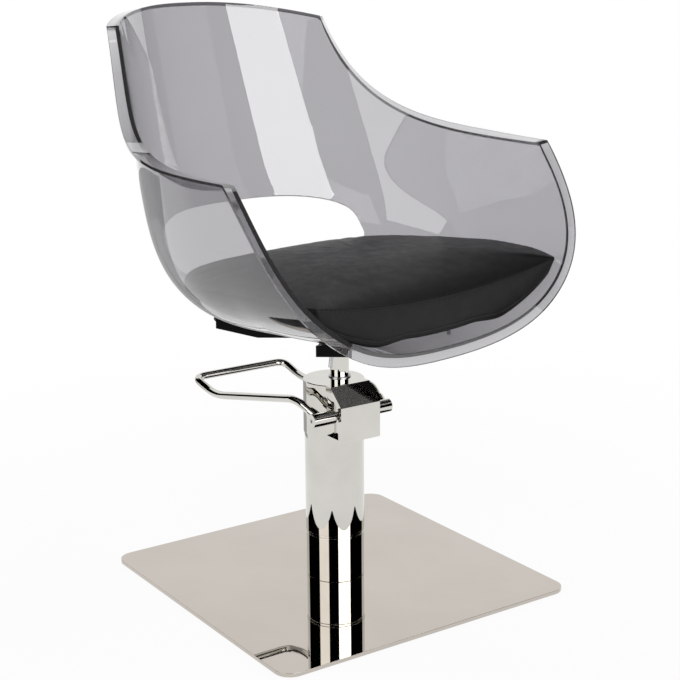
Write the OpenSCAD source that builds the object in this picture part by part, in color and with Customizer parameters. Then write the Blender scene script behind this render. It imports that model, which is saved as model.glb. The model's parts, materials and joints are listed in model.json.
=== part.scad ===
// Hairdressing chair: a clear tub seat on a foot-pumped hydraulic column with a square plate base.
// The origin is the middle of the base on the floor, +Z is up and the sitter faces -Y.

/* [Base] */
// Side of the square base plate
plate_side = 500; // [420:5:600]
// Corner radius of the base plate
plate_corner_r = 25; // [10:1:60]
// Height of the base cover's top above the floor
plate_top = 6.6; // [5:0.2:12]
// Sheet thickness of the polished base cover
cover_sheet = 1.2; // [0.8:0.1:2]
// Thickness of the grip sheet under the base
pad_t = 1; // [0.6:0.1:2]

/* [Column] */
// Outer radius of the column tube
column_r = 44.5; // [42:0.5:55]
// Wall of the column tube
column_wall = 2.5; // [1.5:0.5:4]
// Outer radius of the polished lower collar
collar_r = 44; // [42:0.5:54]
// Height of the lower collar's top above the floor
collar_top = 76; // [50:1:110]
// Height of the ring between the collar and the column tube
ring_h = 4; // [2:0.5:6]
// Height where the pump head starts
head_low = 235; // [200:1:280]
// Height of the pump head's top
head_top = 315.6; // [300:0.2:340]
// Radius of the pump head
head_r = 45.8; // [45:0.2:58]

/* [Pump] */
// Sideways place of the piston rod from the column's middle
post_x = 12; // [6:1:12]
// Front to back place of the piston rod
post_y = 2; // [0:0.5:4]
// Radius of the piston rod
rod_r = 14; // [12:0.5:15]
// Lift stroke of the piston
lift_stroke = 150; // [80:5:150]
// Height of the lever shaft
shaft_z = 275; // [268:1:280]
// Distance of the lever shaft in front of the column's middle
shaft_reach = 53; // [52:0.5:54]
// Radius of the lever shaft
shaft_r = 6; // [5:0.5:6]
// Distance of the sitter's left hub's end from the column's middle
hub_half = 62; // [52:0.5:64]
// Sideways place of the foot lever's middle from the column's middle
lever_x = -4.5; // [-8:0.5:0]
// Radius of the lever hubs
hub_r = 10; // [9:0.5:11]
// Half the width of the pump head's front hood
hood_half = 34.5; // [32:0.5:38]
// Distance of the hood's front face from the column's middle
hood_reach = 69.5; // [69:0.5:72]
// Down stroke of the foot lever in degrees
pedal_stroke = 20; // [10:1:22]

/* [Foot lever] */
// Radius of the lever's bent rod
lever_r = 6; // [5:0.5:7]
// Distance of the lever's crossbar behind the column's middle
bar_reach = 272; // [230:1:300]
// Height of the crossbar
bar_z = 267; // [255:1:280]
// Half the length of the crossbar
bar_half = 84; // [70:1:95]
// Height of the low bend in the lever's side arms
dip_z = 252; // [245:1:262]
// Height of the high bend beside the pump head
hump_z = 297; // [292:1:304]

/* [Seat mount] */
// Turn of the seat from the base, in degrees
seat_turn = 8; // [-180:1:180]
// Height of the bracket's underside
bracket_low = 379.5; // [378:0.5:380]
// Reach of each bracket arm from the piston rod
arm_reach = 180; // [165:1:185]
// Width of each bracket arm
arm_w = 46; // [36:1:50]
// Height of a bracket arm
arm_t = 16; // [12:0.5:16]
// Rise of an arm's tip
arm_rise = 14; // [10:1:14]

/* [Shell] */
// Half the outer width of the shell at the arms
shell_half_w = 296; // [290:1:306]
// Height of the shell's outer floor
shell_floor = 412; // [406:0.5:414]
// Height where the curved bowl ends and the straight walls start
shell_side_z = 650; // [640:5:660]
// Height of the top edge at the middle of the back
shell_top = 850; // [800:2:880]
// Depth of the back at its top, from the middle of the tub
shell_back_depth = 453; // [430:1:470]
// Reach of the tub's full oval to the front, from the middle of the tub
shell_front_depth = 380; // [360:5:420]
// Wall of the moulding
shell_wall = 6; // [4:0.5:8]
// Width that the rim stands out from the wall at the front
rim_front_w = 12; // [10:1:18]
// Width that the rim stands out from the wall over the arms
rim_arm_w = 21; // [12:1:24]
// Width that the rim stands out from the wall at the back
rim_back_w = 11; // [6:1:15]
// Thickness of the rim
rim_t = 4.5; // [4:0.5:8]
// Height of the arm's front corner
arm_corner_z = 647; // [620:1:670]
// Width of the opening in the back
window_w = 388; // [300:5:430]
// Height of the opening's upper edge
window_high = 548; // [530:2:570]
// Height of the opening's lower edge
window_low = 454; // [440:2:480]

/* [Cushion] */
// Half the width of the cushion
cushion_half_w = 258; // [238:1:270]
// Height of the cushion's middle
cushion_high = 504; // [500:1:512]
// Height of the cushion's front seam
seam_z = 471; // [465:1:476]
// Distance of the cushion's front behind the shell's lip
cushion_setback = 8; // [4:1:24]

/* [Hidden] */
// Overrun of every cut past the face that it opens
cut = 1;
// Running clearance of a shaft or a rod in its bore
run_gap = 0.05;
// Gap between curved or soft faces that nearly touch
soft_gap = 0.3;
round_fn = 72;
sweep_sides = 12;

// Base
cover_gap = 0.3;
pad_inset = 4;
foot_h = 22;
foot_gap = 0.4;
foot_r = collar_r - column_wall - foot_gap;
base_screw_r = 3;
base_screw_head_r = 6;
base_screw_head_h = 3.3;
base_screw_circle_r = 31;
base_screw_depth = 12;
base_screw_count = 4;
weight_t = plate_top - cover_sheet - pad_t;

// Pump body
cylinder_wall = 3;
piston_r = 17;
cylinder_seat = 4;
cylinder_low = plate_top + foot_h - cylinder_seat;
spigot_h = 14;
spigot_gap = 0.1;
bush_wall = 2;
bush_h = 20;
gland_r = 17;
gland_h = 6;
gland_proud = 1.8;
cylinder_high = head_top - gland_h - bush_h - cylinder_seat;
piston_h = 16;
piston_floor_gap = 6;
piston_low = cylinder_low + piston_floor_gap + cylinder_seat;
piston_seal_h = 4;
piston_seal_t = 2;
thrust_t = 2;
rod_tenon_r = 8;
rod_low = piston_low + piston_h + thrust_t;
rod_socket_depth = 38;
rod_chamfer = 1;

// Pump head and hood
hood_step = 1.5;
hood_low = head_low + hood_step;
hood_front_high = 290;
hood_slope_y = 42.4;
hood_wall = 8;
hood_recess = 9;
cam_gap = 1;
cam_half = 12;
head_edge_r = 1;
hood_top = head_top - run_gap;
hood_slope = atan2(hood_top - hood_front_high, hood_reach - hood_slope_y);
lug_half = hood_half - hood_recess;

// Plunger
plunger_y = -30;
plunger_r = 6;
plunger_cap_r = 8;
plunger_cap_h = 4;
plunger_top = 266;
plunger_low = 200;
barrel_wall = 3;
barrel_low = plate_top + foot_h;
barrel_high = 238;
cam_nose_r = 5;
spring_wire_r = 0.8;
spring_turns = 4;
spring_seat = barrel_high;

// Lever
screw_r = 3;
screw_depth = 8;
hub_in = hood_half + 2.5;
hub_neck_r = 8;
neck_out = 20;
hump_y = -7;
hump_x = 68;
dip_y = 210;
dip_x = 82;
tail_x = 2.5;
bend_steps = 5;
hump_bend = 18;
dip_bend = 24;
bar_bend = 18;
hub_more = 13;
lever_root_x = 56.5;

// Seat bracket
hub_low = 352;
bracket_hub_r = 25;
flat_reach = 119;
arm_corner_r = 5;
bolt_reach = 160;
bolt_r = 3;
bolt_hole_r = 3.3;
bolt_head_r = 5.5;
bolt_head_h = 3.2;
washer_r = 9;
washer_t = 1.6;
pad_round_r = 16;
thread_depth = 12;

// Shell outline
tub_mid_y = -100;
plan_power = 2.3;
front_fullness = 2.45;
back_fullness = 4;
fullness_turn = 25;
rim_turn = 10;
rim_lift_share = 0.2;
back_lean = 0.307;
lip_y = -222;
lip_droop = 20;
droop_y = -40;
front_low_y = -252;
front_low_z = 450;
front_high_y = -194;
front_high_z = 565;
arm_corner_y = -127;
arm_low_y = 95;
arm_low_z = 650;
arm_high_y = 187;
arm_high_z = 664;
back_corner_y = 258;
back_corner_z = 826;
front_steps = 14;
edge_steps = 18;
top_steps = 9;
wall_rows = 15;
last_row_share = 0.86;
wall_rise = 3;
window_power = 3.2;

// Cushion
cushion_mid_y = -40;
cushion_back_y = 145;
cushion_corner_y = 20;
cushion_side_z = 497;
cushion_back_z = 485;
cushion_floor_gap = 3 * soft_gap;
cushion_gap = 11 * soft_gap;
cushion_flat_share = 0.6;
cushion_rise_turn = 100;
cushion_back_turn = 25;
cushion_columns = 32;

// Eased step from 0 to 1
function eased(t) = let (c = min(max(t, 0), 1)) c * c * (3 - 2 * c);
function unit(v) = v / norm(v);
function bezier(a, b, c, d, t) =
    pow(1 - t, 3) * a + 3 * pow(1 - t, 2) * t * b + 3 * (1 - t) * t * t * c + pow(t, 3) * d;

// Fullness of the bowl's section at plan angle a, -90 at the front and 90 at the back
function fullness(a) =
    front_fullness + (back_fullness - front_fullness) * eased((a + fullness_turn) / (2 * fullness_turn));
function depth_at(a, z) = a > 0 ? shell_back_depth + back_lean * (z - shell_top) : shell_front_depth;
function bowl_h() = shell_side_z - shell_floor;
function droop(y) = lip_droop * pow(max(0, (droop_y - y) / (droop_y - lip_y)), 2);
function droop_slope(y) = -2 * lip_droop * max(0, droop_y - y) / pow(droop_y - lip_y, 2);
// Share of the full plan that the bowl has reached at height z
function spread(a, z) = let (m = fullness(a), t = max(0, shell_side_z - z) / bowl_h())
    pow(max(0, 1 - pow(t, m)), 1 / m);

// Point of the outer wall at plan angle a and level v: 0 to 90 round the bowl, above 90 up the wall
function level_z(a, v) = v > 90 ? shell_side_z + (v - 90) * wall_rise
    : shell_side_z - bowl_h() * pow(cos(v), 2 / fullness(a));
function level_spread(a, v) = v >= 90 ? 1 : pow(sin(v), 2 / fullness(a));
function wall_point(a, v) = let (z = level_z(a, v), k = level_spread(a, v),
    y = tub_mid_y + sign(a) * depth_at(a, z) * k * pow(abs(sin(a)), 2 / plan_power))
    [shell_half_w * k * pow(cos(a), 2 / plan_power), y, z - droop(y)];

// Outward direction of the wall at a point on it
function wall_normal(p, a) = let (z = p.z + droop(p.y), m = fullness(a), n = plan_power,
    d = depth_at(a, z), t = max(0, shell_side_z - z) / bowl_h(),
    k = max(spread(a, z), 0.001), lean = a > 0 ? back_lean : 0,
    gx = pow(abs(p.x) / shell_half_w, n - 1) / shell_half_w,
    gy = sign(p.y - tub_mid_y) * pow(abs(p.y - tub_mid_y) / d, n - 1) / d,
    gz = -pow(k, n - 1) * pow(t, m - 1) * pow(k, 1 - m) / bowl_h()
        - pow(abs(p.y - tub_mid_y) / d, n) * lean / d)
    unit([gx, gy + gz * droop_slope(p.y), gz]);

// Plan angle of the point that the side view shows at depth y and height z
function plan_angle(y, z, a = 0, turn = 12) = turn == 0 ? a
    : let (zz = z + droop(y), k = max(spread(a, zz), 0.001),
        u = min(1, max(-1, (y - tub_mid_y) / (depth_at(y - tub_mid_y, zz) * k))))
    plan_angle(y, z, asin(sign(u) * pow(abs(u), plan_power / 2)), turn - 1);
function level_of(a, z) = z > shell_side_z ? 90 + (z - shell_side_z) / wall_rise
    : acos(pow((shell_side_z - z) / bowl_h(), fullness(a) / 2));

// Side view of the rim: the front curve, the arm and the back's edge, then the top
lip_z = shell_side_z - lip_droop
    - bowl_h() * pow(1 - pow((tub_mid_y - lip_y) / shell_front_depth, front_fullness), 1 / front_fullness);
top_y = tub_mid_y + shell_back_depth;
rim_side = concat(
    [for (i = [0 : front_steps - 1]) bezier([lip_y, lip_z], [front_low_y, front_low_z],
        [front_high_y, front_high_z], [arm_corner_y, arm_corner_z], pow(i / front_steps, 2))],
    [for (i = [0 : edge_steps - 1]) bezier([arm_corner_y, arm_corner_z], [arm_low_y, arm_low_z],
        [arm_high_y, arm_high_z], [back_corner_y, back_corner_z], i / edge_steps)],
    [for (i = [0 : top_steps]) let (t = i / top_steps)
        [back_corner_y + (top_y - back_corner_y) * sin(90 * t),
         back_corner_z + (shell_top - back_corner_z) * sin(90 * t)]]);
rim_last = len(rim_side) - 1;
rim_angles = [for (i = [0 : rim_last]) i == 0 ? -90 : i == rim_last ? 90
    : plan_angle(rim_side[i].x, rim_side[i].y)];
rim_levels = [for (i = [0 : rim_last]) level_of(rim_angles[i], rim_side[i].y + droop(rim_side[i].x))];
rim_points = [for (i = [0 : rim_last]) wall_point(rim_angles[i], rim_levels[i])];
function rim_w(a) = rim_front_w + (rim_arm_w - rim_front_w) * eased((a + rim_turn) / fullness_turn)
    + (rim_back_w - rim_arm_w) * eased((a - rim_turn) / (2 * fullness_turn));
function mirrored(p) = [-p.x, p.y, p.z];
// Direction into the wall, square to the rim
function rim_inward(i) = let (
    before = i == 0 ? mirrored(rim_points[1]) : rim_points[i - 1],
    after = i == rim_last ? mirrored(rim_points[i - 1]) : rim_points[i + 1],
    n = wall_normal(rim_points[i], rim_angles[i]),
    c = unit(cross(n, after - before)),
    down = wall_point(rim_angles[i], rim_levels[i] * last_row_share) - rim_points[i])
    c * down < 0 ? -c : c;

function row_share(j) = j == wall_rows ? 1 : last_row_share * j / (wall_rows - 1);

// One column of points: up the inner wall, round the rim, down the outer wall
function shell_column(i) = let (a = rim_angles[i], v = rim_levels[i], p = rim_points[i],
    n = wall_normal(p, a), c = rim_inward(i))
    concat(
        [for (j = [1 : wall_rows]) let (q = wall_point(a, v * row_share(j)))
            q - shell_wall * wall_normal(q, a)],
        [p + rim_w(a) * (n - rim_lift_share * c), p + rim_w(a) * (n - rim_lift_share * c) + rim_t * c,
            p + rim_t * c],
        [for (j = [wall_rows - 1 : -1 : 1]) wall_point(a, v * row_share(j))]);

// Place of the shell's outer floor above a point of the plan
function floor_z(x, y, z = shell_floor, turn = 8) = turn == 0 ? z - droop(y)
    : let (u = abs(y - tub_mid_y) / depth_at(y - tub_mid_y, z), w = abs(x) / shell_half_w,
        k = pow(pow(w, plan_power) + pow(u, plan_power), 1 / plan_power),
        m = fullness(sign(y - tub_mid_y) * asin(pow(min(1, u / max(k, cut)), plan_power / 2))))
    floor_z(x, y, shell_side_z - bowl_h() * pow(max(0, 1 - pow(k, m)), 1 / m), turn - 1);
function floor_point(x, y) = [x, y, floor_z(x, y)];
function floor_normal(p) = unit([(floor_z(p.x + cut, p.y) - floor_z(p.x - cut, p.y)) / (2 * cut),
    (floor_z(p.x, p.y + cut) - floor_z(p.x, p.y - cut)) / (2 * cut), -1]);

// Tube swept along points, with closed ends
function tangent(path, i) = unit(path[min(i + 1, len(path) - 1)] - path[max(i - 1, 0)]);
function carried(path, first) = [for (i = 0, n = first; i < len(path);
    i = i + 1, n = i < len(path) ? unit(n - (n * tangent(path, i)) * tangent(path, i)) : n) n];
module sweep(path, r, sides) {
    t0 = tangent(path, 0);
    side = unit(cross(t0, abs(t0.z) < 0.9 ? [0, 0, 1] : [1, 0, 0]));
    normals = carried(path, side);
    points = [for (i = [0 : len(path) - 1]) let (n = normals[i], b = cross(tangent(path, i), n))
        for (j = [0 : sides - 1]) path[i] + r * (cos(360 * j / sides) * n + sin(360 * j / sides) * b)];
    faces = concat(
        [for (i = [0 : len(path) - 2], j = [0 : sides - 1]) let (k = (j + 1) % sides)
            [i * sides + j, (i + 1) * sides + j, (i + 1) * sides + k]],
        [for (i = [0 : len(path) - 2], j = [0 : sides - 1]) let (k = (j + 1) % sides)
            [i * sides + j, (i + 1) * sides + k, i * sides + k]],
        [[for (j = [0 : sides - 1]) j]],
        [[for (j = [sides - 1 : -1 : 0]) (len(path) - 1) * sides + j]]);
    polyhedron(points, faces, convexity = 8);
}
// Polyline with its inner corners rounded
function rounded(path, reach) = [for (i = [0 : len(path) - 1])
    each (i == 0 || i == len(path) - 1 ? [path[i]]
        : let (a = path[i] + reach[i] * unit(path[i - 1] - path[i]),
            c = path[i] + reach[i] * unit(path[i + 1] - path[i]))
        [for (j = [0 : bend_steps]) let (t = j / bend_steps)
            pow(1 - t, 2) * a + 2 * t * (1 - t) * path[i] + t * t * c])];

// Stack of point rings with a point at each end, as one closed solid
module ring_solid(rings, first, last) {
    n = len(rings[0]);
    points = concat([for (r = rings) each r], [first, last]);
    a = len(points) - 2;
    b = len(points) - 1;
    top = (len(rings) - 1) * n;
    faces = concat(
        [for (i = [0 : len(rings) - 2], j = [0 : n - 1]) let (k = (j + 1) % n)
            [i * n + j, i * n + k, (i + 1) * n + k]],
        [for (i = [0 : len(rings) - 2], j = [0 : n - 1]) let (k = (j + 1) % n)
            [i * n + j, (i + 1) * n + k, (i + 1) * n + j]],
        [for (j = [0 : n - 1]) [a, (j + 1) % n, j]],
        [for (j = [0 : n - 1]) [b, top + j, top + (j + 1) % n]]);
    polyhedron(points, faces, convexity = 10);
}

module seat_frame() {
    translate([post_x, post_y, 0]) rotate([0, 0, seat_turn]) children();
}
// Turns +Z to a direction
module aim(v) {
    rotate([0, acos(v.z), atan2(v.y, v.x)]) children();
}
module ring(inner, outer, low, high) {
    translate([0, 0, low]) difference() {
        cylinder(r = outer, h = high - low, $fn = round_fn);
        translate([0, 0, -cut]) cylinder(r = inner, h = high - low + 2 * cut, $fn = round_fn);
    }
}
module rounded_plate(side, r, low, high) {
    translate([0, 0, low]) {
        translate([-side / 2, r - side / 2, 0]) cube([side, side - 2 * r, high - low]);
        translate([r - side / 2, -side / 2, 0]) cube([side - 2 * r, side, high - low]);
        for (x = [-1, 1], y = [-1, 1])
            translate([x * (side / 2 - r), y * (side / 2 - r), 0])
                cylinder(r = r, h = high - low, $fn = round_fn);
    }
}
module screw_places() {
    for (i = [0 : base_screw_count - 1]) rotate([0, 0, 45 + 360 * i / base_screw_count])
        translate([base_screw_circle_r, 0, 0]) children();
}

// Base
module base_cover() {
    inner = plate_side - 2 * cover_sheet;
    color("gainsboro") difference() {
        rounded_plate(plate_side, plate_corner_r, pad_t, plate_top);
        rounded_plate(inner, plate_corner_r - cover_sheet, pad_t - cut, plate_top - cover_sheet);
        screw_places() translate([0, 0, -cut])
            cylinder(r = base_screw_r + run_gap, h = plate_top + 2 * cut, $fn = round_fn);
    }
}
module base_weight() {
    side = plate_side - 2 * cover_sheet - 2 * cover_gap;
    color("dimgray") difference() {
        rounded_plate(side, plate_corner_r - cover_sheet - cover_gap, pad_t, plate_top - cover_sheet);
        screw_places() translate([0, 0, -cut])
            cylinder(r = base_screw_r + run_gap, h = plate_top + 2 * cut, $fn = round_fn);
        screw_places() translate([0, 0, pad_t - cut])
            cylinder(r = base_screw_head_r + run_gap, h = base_screw_head_h + cut, $fn = round_fn);
    }
}
module floor_pad() {
    color("black") rounded_plate(plate_side - 2 * pad_inset, plate_corner_r - pad_inset, 0, pad_t);
}
module base_screws() {
    color("silver") screw_places() translate([0, 0, pad_t]) {
        cylinder(r = base_screw_head_r, h = base_screw_head_h, $fn = round_fn);
        cylinder(r = base_screw_r, h = plate_top - pad_t + base_screw_depth, $fn = round_fn);
    }
}

// Column and pump body
module at_post() {
    translate([post_x, post_y, 0]) children();
}
module pump_foot() {
    color("gray") difference() {
        translate([0, 0, plate_top]) cylinder(r = foot_r, h = foot_h, $fn = round_fn);
        screw_places() translate([0, 0, plate_top - cut])
            cylinder(r = base_screw_r + run_gap, h = base_screw_depth + 2 * cut, $fn = round_fn);
        at_post() translate([0, 0, cylinder_low])
            cylinder(r = piston_r + cylinder_wall + run_gap, h = foot_h, $fn = round_fn);
    }
}
module lower_collar() {
    color("lightgray") ring(collar_r - column_wall, collar_r, plate_top, collar_top);
}
module column_ring() {
    color("black") ring(collar_r - column_wall, collar_r, collar_top, collar_top + ring_h);
}
module column_tube() {
    color("silver") ring(column_r - column_wall, column_r, collar_top + ring_h, head_low);
}
module pump_cylinder() {
    color("gray") at_post() ring(piston_r, piston_r + cylinder_wall, cylinder_low, cylinder_high);
}
module plunger_barrel() {
    color("gray") translate([0, plunger_y, 0])
        ring(plunger_r + run_gap, plunger_r + barrel_wall, barrel_low, barrel_high);
}
// Side view of the hood, drawn in by a wall, and its run to one side
module hood_side(inset, from, to) {
    low = hood_low + (inset == 0 ? 0 : inset / 2);
    side_drop = inset * tan(45 - hood_slope / 2);
    translate([from, 0, 0]) rotate([90, 0, 90]) linear_extrude(to - from)
        polygon([[inset - hood_reach, low], [inset - hood_reach, hood_front_high - side_drop],
            [-hood_slope_y + inset * tan(hood_slope / 2), hood_top - inset], [0, hood_top - inset], [0, low]]);
}
module pump_head() {
    slot = 2 * (cam_half + cam_gap);
    slot_back = plunger_y + plunger_cap_r + 2 * cam_gap;
    color("silver") difference() {
        union() {
            difference() {
                translate([0, 0, head_low]) rotate_extrude($fn = round_fn)
                    polygon([[0, 0], [head_r, 0], [head_r, head_top - head_low - head_edge_r],
                        [head_r - head_edge_r, head_top - head_low], [0, head_top - head_low]]);
                translate([0, -hood_slope_y, hood_top]) rotate([hood_slope, 0, 0])
                    translate([-head_r, -head_r, -cut]) cube([2 * head_r, head_r, head_r]);
            }
            translate([0, 0, head_low - spigot_h])
                cylinder(r = column_r - column_wall - spigot_gap, h = spigot_h + cut, $fn = round_fn);
            difference() {
                hood_side(0, -hood_half, hood_half);
                hood_side(hood_wall, lug_half, hood_half + cut);
                hood_side(hood_wall, -hood_half - cut, -lug_half);
            }
        }
        translate([-slot / 2, hood_wall - hood_reach, barrel_high])
            cube([slot, hood_reach - hood_wall + slot_back, shaft_z + shaft_r + 4 * cam_gap - barrel_high]);
        translate([-slot / 2, hood_wall - hood_reach, hood_low - cut])
            cube([slot, hood_reach - hood_wall - head_r + cam_gap, barrel_high - hood_low + 2 * cut]);
        translate([0, -shaft_reach, shaft_z]) rotate([0, 90, 0])
            cylinder(r = shaft_r + run_gap, h = 2 * hood_half + 2 * cut, center = true, $fn = round_fn);
        translate([0, plunger_y, head_low - spigot_h - cut])
            cylinder(r = plunger_r + barrel_wall + run_gap, h = barrel_high - head_low + spigot_h + 2 * cut,
                $fn = round_fn);
        at_post() {
            translate([0, 0, head_low - spigot_h - cut])
                cylinder(r = piston_r + cylinder_wall + run_gap,
                    h = cylinder_high - head_low + spigot_h + cut, $fn = round_fn);
            translate([0, 0, cylinder_high - cut])
                cylinder(r = rod_r + 2 * run_gap + rod_chamfer, h = head_top - cylinder_high, $fn = round_fn);
            translate([0, 0, head_top - gland_h - bush_h])
                cylinder(r = rod_r + bush_wall, h = bush_h + cut, $fn = round_fn);
            translate([0, 0, head_top - gland_h]) cylinder(r = gland_r, h = gland_h + cut, $fn = round_fn);
        }
    }
}
module guide_bush() {
    color("peru") at_post()
        ring(rod_r + run_gap, rod_r + bush_wall, head_top - gland_h - bush_h, head_top - gland_h);
}
module rod_gland() {
    color("black") at_post()
        ring(rod_r + run_gap, gland_r, head_top - gland_h, head_top + gland_proud);
}

// Foot lever and plunger
module on_shaft() {
    translate([0, -shaft_reach, shaft_z]) children();
}
module lever_shaft() {
    color("gray") translate([-hub_more / 2, 0, 0]) on_shaft() rotate([0, 90, 0])
        cylinder(r = shaft_r, h = 2 * (hub_half - screw_depth) + hub_more, center = true, $fn = round_fn);
}
// Flat link round two circles
module link(p, r, q, s) {
    d = norm(q - p);
    base = atan2(q.y - p.y, q.x - p.x);
    off = acos((r - s) / d);
    translate(p) circle(r = r, $fn = round_fn);
    translate(q) circle(r = s, $fn = round_fn);
    polygon([p + r * [cos(base + off), sin(base + off)], q + s * [cos(base + off), sin(base + off)],
        q + s * [cos(base - off), sin(base - off)], p + r * [cos(base - off), sin(base - off)]]);
}
cam_r = hood_reach - hood_wall - shaft_reach - cam_gap / 2;
module lever_cam() {
    nose = [shaft_reach + plunger_y, plunger_top + soft_gap + cam_nose_r - shaft_z];
    color("dimgray") on_shaft() rotate([90, 0, 90]) linear_extrude(2 * cam_half, center = true)
        difference() {
            link([0, 0], cam_r, nose, cam_nose_r);
            circle(r = shaft_r, $fn = round_fn);
        }
}
lever_corner = [[lever_root_x, -shaft_reach, shaft_z], [hump_x, hump_y, hump_z], [dip_x, dip_y, dip_z],
    [bar_half, bar_reach, bar_z]];
neck_way = unit(lever_corner[1] - lever_corner[0]);
// Place of the lever's middle and of the hub's end, as each side sees them
side_x = [lever_x, -lever_x];
hub_out = [hub_half, hub_half + hub_more];
module lever_hubs() {
    color("silver") for (s = [0, 1]) mirror([s, 0, 0]) difference() {
        union() {
            translate([hub_in, -shaft_reach, shaft_z]) rotate([0, 90, 0])
                cylinder(r = hub_r, h = hub_out[s] - hub_in, $fn = round_fn);
            translate([side_x[s], 0, 0]) translate(lever_corner[0]) aim(neck_way)
                cylinder(r = hub_neck_r, h = neck_out, $fn = round_fn);
        }
        translate([hub_in - cut, -shaft_reach, shaft_z]) rotate([0, 90, 0])
            cylinder(r = shaft_r, h = hub_out[s] - screw_depth - hub_in + cut, $fn = round_fn);
        translate([hub_in, -shaft_reach, shaft_z]) rotate([0, 90, 0])
            cylinder(r = screw_r, h = hub_out[s] - hub_in + cut, $fn = round_fn);
        translate([side_x[s], 0, 0]) translate(lever_corner[0] + (hub_r + cut) * neck_way) aim(neck_way)
            cylinder(r = lever_r + run_gap, h = neck_out, $fn = round_fn);
    }
}
module hub_screws() {
    color("dimgray") for (s = [0, 1]) mirror([s, 0, 0])
        translate([hub_out[s] - screw_depth, -shaft_reach, shaft_z]) rotate([0, 90, 0])
            difference() {
                cylinder(r = screw_r, h = screw_depth - cut / 2, $fn = round_fn);
                translate([0, 0, screw_depth / 2]) cylinder(r = screw_r / 2, h = screw_depth, $fn = 6);
            }
}
module foot_lever() {
    start = lever_corner[0] + (hub_r + cut) * neck_way;
    half = [start, lever_corner[1], lever_corner[2], lever_corner[3]];
    shift = [[0, 0, 0], [0, 0, 0], [tail_x, 0, 0], [tail_x, 0, 0]];
    path = concat(half + shift, [for (i = [3 : -1 : 0]) mirrored(half[i]) + shift[i]]);
    reach = [0, hump_bend, dip_bend, bar_bend, bar_bend, dip_bend, hump_bend, 0];
    color("silver") translate([lever_x, 0, 0]) sweep(rounded(path, reach), lever_r, sweep_sides);
}
module plunger() {
    color("gray") translate([0, plunger_y, plunger_low]) {
        cylinder(r = plunger_r, h = plunger_top - plunger_low, $fn = round_fn);
        translate([0, 0, plunger_top - plunger_low - plunger_cap_h])
            cylinder(r = plunger_cap_r, h = plunger_cap_h, $fn = round_fn);
    }
}
module plunger_spring() {
    low = spring_seat + spring_wire_r;
    high = plunger_top - plunger_cap_h - spring_wire_r - soft_gap;
    steps = spring_turns * sweep_sides;
    coil_r = plunger_cap_r - spring_wire_r;
    color("silver") translate([0, plunger_y, 0])
        sweep([for (i = [0 : steps]) [coil_r * cos(360 * i / sweep_sides), coil_r * sin(360 * i / sweep_sides),
            low + (high - low) * i / steps]], spring_wire_r, sweep_sides / 2);
}

// Piston
module piston() {
    color("gray") at_post() difference() {
        translate([0, 0, piston_low]) cylinder(r = piston_r - run_gap, h = piston_h, $fn = round_fn);
        translate([0, 0, piston_low - cut])
            cylinder(r = rod_tenon_r + run_gap, h = piston_h + 2 * cut, $fn = round_fn);
        ring(piston_r - piston_seal_t, piston_r + cut, piston_low + piston_seal_h,
            piston_low + 2 * piston_seal_h);
    }
}
module piston_seal() {
    color("black") at_post() ring(piston_r - piston_seal_t, piston_r - run_gap / 2,
        piston_low + piston_seal_h, piston_low + 2 * piston_seal_h);
}
module thrust_washer() {
    color("peru") at_post() ring(rod_tenon_r + run_gap, rod_r, piston_low + piston_h, rod_low);
}
module piston_rod() {
    color("lightgray") at_post() {
        translate([0, 0, rod_low]) cylinder(r = rod_r, h = hub_low + rod_socket_depth - rod_low, $fn = round_fn);
        translate([0, 0, piston_low]) cylinder(r = rod_tenon_r, h = rod_low - piston_low + cut, $fn = round_fn);
    }
}

// Seat mount
bolt_step = bolt_reach * sqrt(1 / 2);
bolt_places = [for (x = [-1, 1], y = [-1, 1]) floor_point(x * bolt_step, y * bolt_step)];
module at_bolts() {
    for (p = bolt_places) translate(p) aim(-floor_normal(p)) children();
}
// Height of an arm's top at a distance from the rod
function arm_top(r) = bracket_low + arm_t + arm_rise * max(0, r - flat_reach) / (arm_reach - flat_reach);
module bracket_arms() {
    for (i = [0 : 3]) rotate([90, 0, 45 + 90 * i]) linear_extrude(arm_w, center = true)
        polygon([[0, bracket_low], [flat_reach, bracket_low], [arm_reach, bracket_low + arm_rise],
            [arm_reach, arm_top(arm_reach)], [flat_reach, arm_top(flat_reach)],
            [0, bracket_low + arm_t]]);
}
module seat_bracket() {
    color("black") seat_frame() difference() {
        union() {
            translate([0, 0, hub_low])
                cylinder(r = bracket_hub_r, h = bracket_low + arm_t - hub_low, $fn = round_fn);
            bracket_arms();
        }
        translate([0, 0, hub_low - cut]) cylinder(r = rod_r, h = rod_socket_depth + cut, $fn = round_fn);
        at_bolts() translate([0, 0, -bolt_depth]) cylinder(r = bolt_r, h = bolt_depth, $fn = round_fn);
    }
}
// Gap between the arm's top and the shell along a bolt
function pad_h(p) = let (n = floor_normal(p)) (p.z - arm_top(bolt_reach)) / -n.z - soft_gap;
bolt_depth = thread_depth + max([for (p = bolt_places) pad_h(p)]);
module bracket_pads() {
    color("black") seat_frame() difference() {
        for (p = bolt_places) translate(p) aim(-floor_normal(p)) translate([0, 0, -pad_h(p) - arm_t / 2])
            difference() {
                cylinder(r = pad_round_r, h = pad_h(p) + arm_t / 2 - soft_gap, $fn = round_fn);
                translate([0, 0, -cut]) cylinder(r = bolt_hole_r, h = pad_h(p) + arm_t, $fn = round_fn);
            }
        bracket_arms();
    }
}
washer_low = shell_wall + 5 * soft_gap;
module seat_bolts() {
    head_low = washer_low + washer_t;
    color("dimgray") seat_frame() at_bolts() {
        translate([0, 0, head_low]) cylinder(r = bolt_head_r, h = bolt_head_h, $fn = round_fn);
        translate([0, 0, cut - bolt_depth]) cylinder(r = bolt_r, h = head_low + bolt_depth, $fn = round_fn);
    }
}
module bolt_washers() {
    color("silver") seat_frame() at_bolts()
        ring(bolt_hole_r, washer_r, washer_low, washer_low + washer_t);
}

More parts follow.
